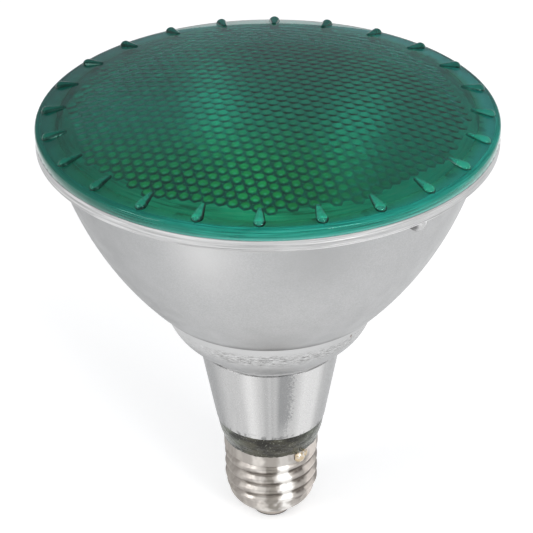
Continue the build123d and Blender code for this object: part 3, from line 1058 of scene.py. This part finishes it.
def cell_faces(rings, shape):
    """Triangles between the hexagonal rings of one cell."""
    for step in range(1, len(rings)):
        inner = rings[step - 1]
        ring = rings[step]
        for k in range(6):
            for i in range(step):
                a = ring[k * step + i]
                b = ring[(k * step + i + 1) % len(ring)]
                c = inner[(k * (step - 1) + i) % len(inner)]
                shape.faces.append((a, b, c))
                if i > 0:
                    d = inner[(k * (step - 1) + i - 1) % len(inner)]
                    shape.faces.append((a, c, d))


def add_lenslets(shape):
    """Hexagonal cells with a round cap in each. Gives the edges of all cells and of the outer border."""
    known = {}
    users = {}

    def number_of(place, height):
        key = (round(place.x, 3), round(place.y, 3))
        if key not in known:
            known[key] = shape.ring([under_dome(place.x, place.y, height)])[0]
        return known[key]

    cell = [[(Vector((0, 0)), lenslet_height)]] + [cell_ring(step) for step in range(1, lenslet_steps + 1)]
    for centre in lenslet_centres():
        rings = [[number_of(centre + place, height) for place, height in ring] for ring in cell]
        outer = rings[-1]
        for i, number in enumerate(outer):
            pair = frozenset((number, outer[(i + 1) % len(outer)]))
            users[pair] = users.get(pair, 0) + 1
        cell_faces(rings, shape)
    outer_pairs = [tuple(pair) for pair, count in users.items() if count == 1]
    return set(users), outer_pairs


def fill_rim(circle, outer_pairs, shape):
    """Triangles of the smooth band between the lenslets and the mouth."""
    numbers = circle + sorted({number for pair in outer_pairs for number in pair})
    local = {number: i for i, number in enumerate(numbers)}
    points = [Vector(shape.vertices[number][:2]) for number in numbers]
    count = len(circle)
    edges = [(i, (i + 1) % count) for i in range(count)]
    edges += [(local[a], local[b]) for a, b in outer_pairs]
    result = geometry.delaunay_2d_cdt(points, edges, [], 1, 1e-5)
    triangles = result[2]
    sources = result[3]
    for triangle in triangles:
        if not all(sources[i] for i in triangle):
            continue
        corners = [sources[i][0] for i in triangle]
        middle = sum((points[i] for i in corners), Vector((0, 0))) / 3
        if not inside_lenslets(middle):
            shape.faces.append(tuple(numbers[i] for i in corners))


def even_angles(count):
    """Even angles that start where the beads' rings start."""
    start = bead_row(bead_zone)[0][0]
    return [start + 360 * i / count for i in range(count)]


def add_dome(shape):
    """The lens's outer face. Gives its last ring and the points that the beads raise."""
    rings = [shape.ring([on_dome(0, 0)])]
    for i in range(1, dome_rings + 1):
        radius = (bead_zone - bead_zone_gap) * i / dome_rings
        rings.append(shape.ring([on_dome(radius, angle) for angle in even_angles(dome_segments)]))
    shape.bridge(*rings)
    fine = []
    raised = set()
    for radius in bead_radii():
        row = bead_row(radius)
        fine.append(shape.ring([on_dome(radius, angle, height) for angle, height in row]))
        raised.update(number for number, (_, height) in zip(fine[-1], row) if height > 0)
    shape.zip_rings(rings[-1], fine[0])
    shape.bridge(*fine)
    return fine[-1], raised


def add_lens_edge(first, bottom, shape):
    """The round edge and the wall under it, down to the seat. Gives the last ring."""
    start = rim_radius - lens_edge_round
    upper = (start, dome_level(start))
    edge = rounded(upper, (rim_radius, dome_base), (rim_radius, dome_base - lens_edge_round), count=7)
    edge += [(rim_radius, bottom + lens_edge_bevel), (rim_radius - lens_edge_bevel, bottom)]
    wall = [first]
    for radius, level in edge:
        wall.append(shape.ring([polar(radius, angle, level) for angle, _ in bead_row(radius)]))
    shape.bridge(*wall)
    return wall[-1]


def add_seat(first, bottom, shape):
    """The flat seat on the flange and the mouth's wall. Gives the last ring."""
    inside = []
    for level in (bottom, dome_level(mouth_radius, lens_thickness)):
        inside.append(shape.ring([polar(mouth_radius, angle, level) for angle in even_angles(seat_segments)]))
    shape.zip_rings(first, inside[0])
    shape.bridge(*inside)
    return inside[1]


def make_lens():
    """The pressed lens: a dome with beads, lenslets inside, and the edge that is sealed to the flange."""
    finishes = [green_glass(), seal(), edge_glass(), bead_glass(), lenslet_glass(), band_glass()]
    dome, seat, edge, beads, lenslets, band = range(len(finishes))
    bottom = seam + seal_gap
    shape = Shape()
    dome_end, raised = add_dome(shape)
    shape.number(dome)
    wall_end = add_lens_edge(dome_end, bottom, shape)
    shape.number(edge)
    mouth = add_seat(wall_end, bottom, shape)
    shape.number(seat)
    cell_pairs, outer_pairs = add_lenslets(shape)
    shape.number(lenslets)
    fill_rim(mouth, outer_pairs, shape)
    shape.number(band)
    for i, face in enumerate(shape.faces):
        if raised.intersection(face):
            shape.numbers[i] = beads
    lens = shape.piece("lens_glass", finishes, crease=50)
    for mesh_edge in lens.data.edges:
        if frozenset(mesh_edge.vertices) in cell_pairs:
            mesh_edge.use_edge_sharp = True
    dress(lens, "green_glass", "lens")


# Reflector


def flange_side():
    """The flange's wall from its top down, with its fine grooves."""
    points = [(rim_radius - flange_bevel, seam), (rim_radius, seam - flange_bevel)]
    half = flange_groove_width / 2
    for share in flange_grooves:
        middle = seam - share * flange_height
        points.append((rim_radius, middle + half))
        points.append((rim_radius - flange_groove_depth, middle))
        points.append((rim_radius, middle - half))
    points += [(rim_radius, flange_bottom + flange_chamfer), (rim_radius - flange_chamfer, flange_bottom)]
    return points


def make_reflector():
    """The glass bowl: satin silver outside, mirror inside."""
    step_radius = heel_top_radius + step_width
    bowl = bowed((step_radius, step_level), (bowl_top_radius, flange_bottom), bowl_bow, count=40)[1:]
    step = rounded(bowl[0], (step_radius, step_level), (step_radius - step_round, step_level), count=8)
    heel = rounded(
        (heel_top_radius, step_level),
        (heel_top_radius, heel_bottom + heel_height * heel_fullness),
        (heel_bottom_radius, heel_bottom),
        count=24,
    )
    neck = [
        (neck_radius_at(heel_bottom), heel_bottom),
        (neck_radius_at(neck_bottom), neck_bottom),
        (neck_bore_radius, neck_bottom),
        (neck_bore_radius, heel_bottom),
        (0, heel_bottom),
    ]
    outside = [(mouth_radius, seam)] + flange_side() + bowl[::-1] + step + heel + neck
    inner_heel = rounded(
        (heel_bottom_radius - glass_wall, floor_top),
        (heel_top_radius - glass_wall, floor_top + glass_wall),
        (heel_top_radius - glass_wall, step_level),
        count=12,
    )
    inner_start = (step_radius - glass_wall, step_level + glass_wall)
    inner_bowl = bowed(inner_start, (mouth_radius, seam), bowl_bow, count=40)
    inside = [(0, floor_top)] + inner_heel + inner_bowl[:-1]
    reflector = turned("reflector_bowl", [(outside, silver_coat()), (inside, mirror_coat())], crease=28)
    dress(reflector, "silvered_glass", "reflector")


def make_lug():
    """The uneven drop of silvered glass under the flange."""
    middle = Vector(polar(bowl_top_radius + lug_stand, lug_angle, flange_bottom - lug_drop))

    def on_lug(side):
        swell = 1 + lug_swell * noise.noise(side * lug_waves)
        return middle + Vector((side.x, side.y, side.z * lug_flatness)) * lug_radius * swell

    shape = Shape()
    shape.ball(on_lug, lug_rows)
    dress(shape.piece("flange_lug", [lug_silver()], crease=0), "silvered_glass", "reflector")


# Skirt, ring and cement


def make_skirt():
    """The thin aluminium cone, a little uneven at its foot."""
    e = skirt_edge
    foot_radius = skirt_radius_at(skirt_bottom)
    points = [
        (skirt_top_radius - skirt_wall, skirt_top - e),
        (skirt_top_radius - skirt_wall + e, skirt_top),
        (skirt_top_radius - e, skirt_top),
        (skirt_top_radius, skirt_top - e),
    ]
    for i in range(1, skirt_steps):
        level = skirt_top - e + (skirt_bottom - skirt_top + 2 * e) * i / skirt_steps
        points.append((skirt_radius_at(level), level))
    points += [
        (foot_radius, skirt_bottom + e),
        (foot_radius - e, skirt_bottom),
        (foot_radius - skirt_wall + e, skirt_bottom),
        (foot_radius - skirt_wall, skirt_bottom + e),
    ]

    def uneven(angle, radius, level):
        low = smooth_step(skirt_bottom + skirt_dent_height, skirt_bottom, level)
        return radius - skirt_dent * abs(wander(angle, size=24, seed=3.1)) * low, level

    skirt = turned("skirt_cone", [(points, skirt_metal())], shift=uneven, crease=28)
    dress(skirt, "skirt_aluminium", "skirt")


def make_cement():
    """The cement between the neck and the skirt, squeezed up into the gap under the heel."""
    top = heel_bottom - cement_gap
    face = skirt_top_radius - cement_recess
    width, height = cement_round
    points = [(neck_radius_at(level) + seat_gap, level) for level in (neck_bottom, top)]
    points += [
        (face - width, top),
        (face, top - height),
        (face, skirt_top + cement_gap),
        (skirt_top_radius - skirt_wall - seat_gap, skirt_top + cement_gap),
        (skirt_radius_at(neck_bottom) - skirt_wall - seat_gap, neck_bottom),
    ]

    def uneven(angle, radius, level):
        if radius > skirt_top_radius - skirt_wall:
            radius -= cement_rough * (1 + wander(angle, size=9, seed=2.2))
        return radius, level

    cement = turned("cement_fill", [(points, dry_cement())], shift=uneven)
    dress(cement, "cement", "basing_cement")


def make_ring():
    """The dark ring, with a ragged film over the top of the shell."""
    side = bowed((collar_radius, shell_top), (ring_top_radius, skirt_bottom), ring_bulge, count=12)
    upper = skirt_radius_at(skirt_bottom) - skirt_wall - seat_gap
    lower = core_radius - shell_wall - seat_gap
    film_radius = collar_radius + film_thickness
    film_bottom = shell_top - film_height
    end_width, end_height = film_end
    points = side[:1:-1]
    points += [
        (film_radius + film_flare, shell_top + film_height),
        (film_radius, film_bottom + end_height),
        (film_radius - end_width, film_bottom),
        (collar_radius + film_gap, film_bottom),
        (collar_radius + film_gap, shell_top),
        (lower, shell_top),
        (lower, ring_low.z),
        (ring_bore_radius, ring_low.z),
        (ring_bore_radius, ring_high.z),
        (upper, ring_high.z),
        (upper, skirt_bottom),
    ]

    def ragged(angle, radius, level):
        if radius > collar_radius and level < shell_top - TINY:
            level -= film_drip * wander(angle, size=14, seed=1.3)
            level -= film_rag * wander(angle, size=2.6, seed=4.7)
        return radius, level

    ring = turned("insulating_band", [(points, dark_insulator())], ring_segments, ragged, crease=40)
    dress(ring, "dark_insulator", "insulating_ring")


# Screw cap


def shell_radius(angle, level):
    """The outside of the threaded shell above its rounded end."""
    phase = (level - shell_lip - thread_foot) / thread_pitch - angle / 360
    ridge = (0.5 + 0.5 * math.cos(2 * math.pi * phase)) ** thread_sharpness
    rise = (level - round_level + thread_sink) * (thread_depth + thread_sink) / thread_lead
    lead = core_radius - thread_sink + rise
    radius = min(core_radius + thread_depth * ridge, max(lead, core_radius))
    share = smooth_step(collar_bottom - collar_slope, collar_bottom, level)
    return max(radius, core_radius + share * (collar_radius - core_radius))


def make_shell():
    """The rolled screw shell with its rounded thread."""
    edge_width, edge_height = shell_edge
    wall_top = shell_top - edge_height
    bore = core_radius - shell_wall
    points = rounded(
        (shell_lip_radius, shell_lip),
        (core_radius, shell_lip + shell_round_height * shell_fullness),
        (core_radius, round_level),
        count=16,
    )
    for i in range(1, thread_steps + 1):
        points.append((core_radius, round_level + (wall_top - round_level) * i / thread_steps))
    points += [
        (collar_radius - edge_width, shell_top),
        (bore, shell_top),
        (bore, round_level),
        (shell_lip_radius, shell_lip + shell_lip_thickness),
    ]

    def rolled(angle, radius, level):
        on_wall = radius >= core_radius and round_level + TINY <= level <= wall_top + TINY
        return (shell_radius(angle, level) if on_wall else radius), level

    shell = turned("screw_cap_shell", [(points, nickel())], shift=rolled, crease=50)
    dress(shell, "nickelled_shell", "screw_shell")


def make_solder():
    """Two drops of solder run together on the collar, over the end of the side lead."""
    level = (solder_low.z + solder_high.z) / 2
    out = Vector(polar(1, lead_angle, 0))
    along = Vector((-out.y, out.x, 0))
    middle = out * (collar_radius - solder_sink) + Vector((0, 0, level))
    shape = Shape()
    for number, (side, rise, radius) in enumerate(solder_drops):
        centre = middle + along * side + Vector((0, 0, rise))
        shift = Vector((side, rise, 0))

        def on_drop(face):
            swell = 1 + solder_swell * noise.noise(face * solder_waves + shift)
            flat = face - out * face.dot(out) * (1 - solder_flatness)
            return centre + flat * radius * swell

        shape.ball(on_drop, solder_rows)
        shape.number(number)
    finishes = [solder("solder_bright", 0.7), solder("solder_fluxed", 0.85)]
    dress(shape.piece("side_solder_drop", finishes, crease=0), "solder", "side_solder")


def make_contact():
    """The contact plate, with a round lower edge."""
    radius = plate_high.x
    bottom = plate_low.z
    points = [
        (0, bottom),
        (radius - plate_edge, bottom),
        (radius - plate_edge_cut, bottom + plate_edge_cut),
        (radius, bottom + plate_edge),
        (radius, plate_high.z),
        (0, plate_high.z),
    ]
    finish = plain_metal("contact_metal", (0.42, 0.38, 0.34), (0.52, 0.475, 0.43), 0.38, edge=bottom)
    plate = turned("contact_disc", [(points, finish)], contact_segments)
    dress(plate, "contact_metal", "contact_plate")


def make_tip():
    """The solder on the contact plate, pressed flat at its end."""
    flat_edge = (tip_flat_radius, tip_low.z)
    side = rounded(flat_edge, (tip_high.x, tip_low.z), (tip_high.x, tip_high.z), count=6)
    points = [(0, tip_low.z)] + side + [(0, tip_high.z)]
    finish = plain_metal("tip_metal", grey(0.4, 0.02), grey(0.62, 0.02), 0.35)
    tip = turned("tip_drop", [(points, finish)], contact_segments)
    dress(tip, "solder", "tip_solder")


# Inside


def filament_path():
    """The wire's middle line along X: a leg, the coil and a leg."""
    span = Vector((filament_high.x - filament_low.x, filament_high.y - filament_low.y)).length / 2
    coil_end = span - filament_leg
    path = [Vector((-span, 0, 0))]
    steps = coil_turns * coil_steps
    for i in range(steps + 1):
        t = i / steps
        spin = 2 * math.pi * coil_turns * t
        x = -coil_end + 2 * coil_end * t
        path.append(Vector((x, coil_radius * math.cos(spin), coil_radius * math.sin(spin))))
    path.append(Vector((span, 0, 0)))
    return path


def make_filament():
    """The coil between the posts."""
    turn = Matrix.Rotation(math.radians(lead_angle), 3, "Z")
    lift = Vector((0, 0, (filament_low.z + filament_high.z) / 2))
    aslant = Vector((0.3, 0.5, 0.8))  # a direction that the wire never has
    path = filament_path()
    shape = Shape()
    rings = []
    for i, place in enumerate(path):
        along = (path[min(i + 1, len(path) - 1)] - path[max(i - 1, 0)]).normalized()
        side = along.cross(aslant).normalized()
        other = along.cross(side)
        ring = []
        for j in range(wire_sides):
            spin = 2 * math.pi * j / wire_sides
            point = place + (side * math.cos(spin) + other * math.sin(spin)) * wire_radius
            ring.append(tuple(turn @ point + lift))
        rings.append(shape.ring(ring))
    shape.bridge(*rings)
    shape.faces.append(tuple(rings[0]))
    shape.faces.append(tuple(reversed(rings[-1])))
    tungsten = plain_metal("tungsten", grey(0.16), grey(0.3), 0.5)
    dress(shape.piece("filament_coil", [tungsten], crease=60), "tungsten", "filament")


def paint_nodes():
    """Materials for the solids that stay as they are."""
    ferrule = plain_metal("ferrule_metal", grey(0.42, 0.02), grey(0.55, 0.02), 0.35)
    post = plain_metal("post_metal", grey(0.5, 0.02), grey(0.66, 0.02), 0.3)
    wire = plain_metal("copper_wire", (0.44, 0.22, 0.11), (0.6, 0.33, 0.18), 0.35)
    finishes = {
        ferrule: ("left_ferrule", "right_ferrule"),
        post: ("left_post", "right_post"),
        wire: ("centre_lead", "side_lead"),
        stem_glass(): ("exhaust_tube",),
        cap_glass(): ("cap_insulator",),
    }
    for material, nodes in finishes.items():
        for node in nodes:
            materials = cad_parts[node].data.materials
            materials.clear()
            materials.append(material)


# Stage


def make_floor():
    """A pale floor that keeps the shadow, lifted to white for the camera and by way of metal and glass."""
    half = floor_half * MM
    corners = [(-half, -half, 0), (half, -half, 0), (half, half, 0), (-half, half, 0)]
    mesh = bpy.data.meshes.new("floor")
    mesh.from_pydata(corners, [], [(0, 1, 2, 3)])
    floor = bpy.data.objects.new("floor", mesh)
    bpy.context.scene.collection.objects.link(floor)
    material = bpy.data.materials.new("floor_white")
    material.use_nodes = True
    nodes = Nodes(material.node_tree)
    nodes.tree.nodes.clear()
    seen = nodes.value("ShaderNodeLightPath", {}, "Is Camera Ray")
    for ray in ("Is Glossy Ray", "Is Transmission Ray"):
        seen = seen.math("MAXIMUM", nodes.value("ShaderNodeLightPath", {}, ray))
    diffuse = nodes.value("ShaderNodeBsdfDiffuse", {"Color": grey(0.8)})
    lift = nodes.value("ShaderNodeEmission", {"Strength": seen * floor_lift})
    both = nodes.value("ShaderNodeAddShader", {0: diffuse, 1: lift})
    nodes.add("ShaderNodeOutputMaterial", {"Surface": both})
    mesh.materials.append(material)


def make_world():
    """Soft surroundings, white on the camera's side and dim behind the lamp. The camera sees them white."""
    world = bpy.data.worlds.new("studio")
    bpy.context.scene.world = world
    world.use_nodes = True
    nodes = Nodes(world.node_tree)
    x, y, _ = nodes.split(nodes.value("ShaderNodeTexCoord", {}, "Generated"))
    behind = (y - abs(x)).ramp(-0.35, 0.3)
    tones = nodes.mix(behind, grey(0.64), (0.255, 0.28, 0.315))
    camera_ray = nodes.value("ShaderNodeLightPath", {}, "Is Camera Ray")
    nodes.join(nodes.tree.nodes["Background"].inputs["Color"], nodes.mix(camera_ray, tones, grey(1)))


def face_lamp(thing, azimuth, elevation, distance, aim, roll=0.0):
    """Puts a softbox or the camera round the lamp, facing it. Azimuth 0 is the front, and 90 the right."""
    a = math.radians(azimuth)
    e = math.radians(elevation)
    back = Vector((math.sin(a) * math.cos(e), -math.cos(a) * math.cos(e), math.sin(e)))
    thing.location = Vector((0, 0, aim * MM)) + back * distance * MM
    turn = back.to_track_quat("Z", "Y").to_matrix() @ Matrix.Rotation(math.radians(roll), 3, "Z")
    thing.rotation_euler = turn.to_euler()
    bpy.context.scene.collection.objects.link(thing)


def make_softboxes():
    for name, (azimuth, elevation, width, height, power) in softboxes.items():
        light = bpy.data.lights.new(name, "AREA")
        light.shape = "RECTANGLE"
        light.size = width * MM
        light.size_y = height * MM
        light.energy = power
        face_lamp(bpy.data.objects.new(name, light), azimuth, elevation, softbox_distance, softbox_aim)


def make_camera():
    """The photograph's view: a long lens from 31 degrees above, turned a little about its own axis."""
    optics = bpy.data.cameras.new("camera")
    optics.sensor_width = sensor_width
    optics.lens = focal_pixels / frame_pixels * sensor_width
    optics.shift_x = aside_pixels / frame_pixels
    optics.clip_start = camera_near * MM
    camera = bpy.data.objects.new("camera", optics)
    face_lamp(camera, 0, camera_elevation, camera_distance, camera_aim, camera_roll)
    bpy.context.scene.camera = camera


make_lens()
make_reflector()
make_lug()
make_skirt()
make_cement()
make_ring()
make_shell()
make_solder()
make_contact()
make_tip()
make_filament()
paint_nodes()

make_floor()
make_world()
make_softboxes()
make_camera()

scene = bpy.context.scene
scene.view_settings.view_transform = "Standard"
